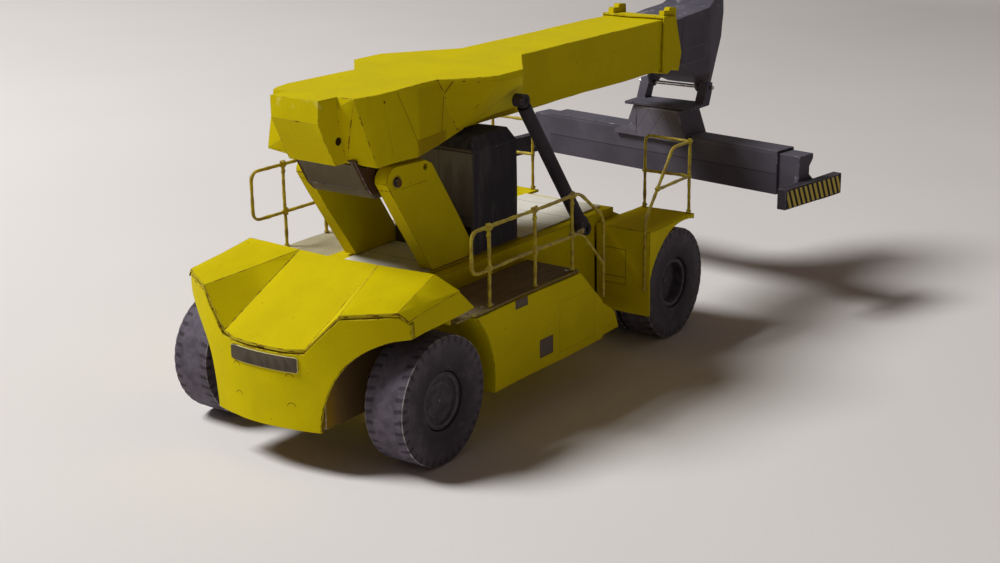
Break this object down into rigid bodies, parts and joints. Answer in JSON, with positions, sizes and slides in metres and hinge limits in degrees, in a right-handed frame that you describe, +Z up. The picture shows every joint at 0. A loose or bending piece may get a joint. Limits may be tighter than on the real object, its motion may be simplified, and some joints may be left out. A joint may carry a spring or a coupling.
{
  "type": "card scale model of a reach stacker",
  "caption": "Hand-made card model of a container reach stacker: lifting and telescoping boom, tilting and turning spreader, steered rear wheels and twin front wheels.",
  "frame": {"origin": "on the ground, under the middle of the model's length and width", "axes": "+X forward along the boom, +Y to the left, +Z up"},
  "size_m": [0.2346, 0.1252, 0.0974],
  "materials": {
    "yellow_card": "printed yellow card, satin, with white cut edges",
    "white_card": "white card with thin printed panel lines",
    "grey_card": "printed violet-grey card, matt",
    "dark_card": "printed dark grey card, matt",
    "deck_card": "printed tread plate in taupe card, matt",
    "tyre": "layered card printed as a tyre, matt",
    "yellow_wire": "painted wire with small blobs of glue at the joints",
    "steel_wire": "bare bright wire"
  },
  "bodies": {
    "chassis": {"boom_tower_left": "yellow_card", "boom_tower_right": "yellow_card", "cab": "dark_card", "counterweight_box": "yellow_card", "counterweight_face": "yellow_card", "frame_hull": "yellow_card", "front_axle": "dark_card", "front_fender_left": "yellow_card", "front_fender_right": "yellow_card", "front_railing_left": "yellow_wire", "front_railing_right": "yellow_wire", "hull_cover": "white_card", "lift_foot_pin_left": "dark_card", "lift_foot_pin_right": "dark_card", "name_plate": "dark_card", "pivot_pin": "grey_card", "rear_axle": "dark_card", "rear_hood": "yellow_card", "side_deck_left": "deck_card", "side_deck_right": "deck_card", "side_railing_left": "yellow_wire", "side_railing_right": "yellow_wire", "side_tank_left": "yellow_card", "side_tank_right": "yellow_card", "step_box_left": "yellow_card", "step_box_right": "yellow_card"},
    "knuckle_left": {"knuckle_left": "dark_card"},
    "knuckle_right": {"knuckle_right": "dark_card"},
    "rear_wheel_left": {"rear_tyre_left": "tyre", "rear_hub_left": "grey_card"},
    "rear_wheel_right": {"rear_tyre_right": "tyre", "rear_hub_right": "grey_card"},
    "front_wheel_left": {"front_tyre_outer_left": "tyre", "front_tyre_inner_left": "tyre", "front_hub_left": "grey_card"},
    "front_wheel_right": {"front_tyre_outer_right": "tyre", "front_tyre_inner_right": "tyre", "front_hub_right": "grey_card"},
    "boom": {"boom_outer": "yellow_card", "boom_foot": "grey_card", "boom_collar": "yellow_card"},
    "boom_slide": {"boom_inner": "grey_card", "boom_head": "grey_card", "tilt_pin": "steel_wire"},
    "lift_barrel_left": {"lift_barrel_left": "dark_card"},
    "lift_barrel_right": {"lift_barrel_right": "dark_card"},
    "lift_rod_left": {"lift_rod_left": "dark_card"},
    "lift_rod_right": {"lift_rod_right": "dark_card"},
    "tilt_yoke": {"tilt_yoke": "grey_card"},
    "spreader": {"rotator_housing": "grey_card", "main_beam": "grey_card"},
    "spreader_arm_left": {"spreader_arm_left": "grey_card", "end_beam_left": "dark_card"},
    "spreader_arm_right": {"spreader_arm_right": "grey_card", "end_beam_right": "dark_card"}
  },
  "joints": [
    {"name": "steer_left", "type": "hinge", "parent": "chassis", "child": "knuckle_left", "pos_m": [-0.08965, 0.0236, 0.0175], "axis": [0, 0, 1], "range_deg": [-15, 15]},
    {"name": "steer_right", "type": "hinge", "parent": "chassis", "child": "knuckle_right", "pos_m": [-0.08965, -0.0236, 0.0175], "axis": [0, 0, 1], "range_deg": [-15, 15]},
    {"name": "rear_wheel_spin_left", "type": "hinge", "parent": "knuckle_left", "child": "rear_wheel_left", "pos_m": [-0.08965, 0.0355, 0.0175], "axis": [0, 1, 0], "continuous": true},
    {"name": "front_wheel_spin_left", "type": "hinge", "parent": "chassis", "child": "front_wheel_left", "pos_m": [0.03305, 0.0249, 0.0175], "axis": [0, 1, 0], "continuous": true},
    {"name": "rear_wheel_spin_right", "type": "hinge", "parent": "knuckle_right", "child": "rear_wheel_right", "pos_m": [-0.08965, -0.0325, 0.0175], "axis": [0, 1, 0], "continuous": true},
    {"name": "front_wheel_spin_right", "type": "hinge", "parent": "chassis", "child": "front_wheel_right", "pos_m": [0.03305, -0.0249, 0.0175], "axis": [0, 1, 0], "continuous": true},
    {"name": "boom_lift", "type": "hinge", "parent": "chassis", "child": "boom", "pos_m": [-0.07805, 0, 0.0698], "axis": [0, -1, 0], "range_deg": [0, 52]},
    {"name": "boom_extend", "type": "slide", "parent": "boom", "child": "boom_slide", "axis": [1, 0, 0], "range_m": [0, 0.085]},
    {"name": "lift_swing_left", "type": "hinge", "parent": "chassis", "child": "lift_barrel_left", "pos_m": [0.00175, 0.022, 0.0403], "axis": [0, -1, 0], "range_deg": [0, 3.33]},
    {"name": "lift_stroke_left", "type": "slide", "parent": "lift_barrel_left", "child": "lift_rod_left", "axis": [-0.5873, 0, 0.8094], "range_m": [0, 0.04404]},
    {"name": "lift_swing_right", "type": "hinge", "parent": "chassis", "child": "lift_barrel_right", "pos_m": [0.00175, -0.022, 0.0403], "axis": [0, -1, 0], "range_deg": [0, 3.33]},
    {"name": "lift_stroke_right", "type": "slide", "parent": "lift_barrel_right", "child": "lift_rod_right", "axis": [-0.5873, 0, 0.8094], "range_m": [0, 0.04404]},
    {"name": "spreader_tilt", "type": "hinge", "parent": "boom_slide", "child": "tilt_yoke", "pos_m": [0.09555, 0, 0.0674], "axis": [0, 1, 0], "range_deg": [-10, 52]},
    {"name": "spreader_slew", "type": "hinge", "parent": "tilt_yoke", "child": "spreader", "pos_m": [0.08885, 0, 0.055], "axis": [0, 0, 1], "range_deg": [-14, 30]},
    {"name": "spreader_arm_slide_left", "type": "slide", "parent": "spreader", "child": "spreader_arm_left", "axis": [0.1392, 0.9903, 0], "range_m": [0, 0.036]},
    {"name": "spreader_arm_slide_right", "type": "slide", "parent": "spreader", "child": "spreader_arm_right", "axis": [-0.1392, -0.9903, 0], "range_m": [0, 0.036]}
  ],
  "couplings": [
    {"joint": "steer_right", "follows": "steer_left", "ratio": 1},
    {"joint": "spreader_arm_slide_right", "follows": "spreader_arm_slide_left", "ratio": 1},
    {"joint": "lift_swing_left", "follows": "boom_lift", "ratio": 0.06016},
    {"joint": "lift_stroke_left", "follows": "boom_lift", "m_per_rad": 0.048081},
    {"joint": "lift_swing_right", "follows": "boom_lift", "ratio": 0.06016},
    {"joint": "lift_stroke_right", "follows": "boom_lift", "m_per_rad": 0.048081}
  ]
}
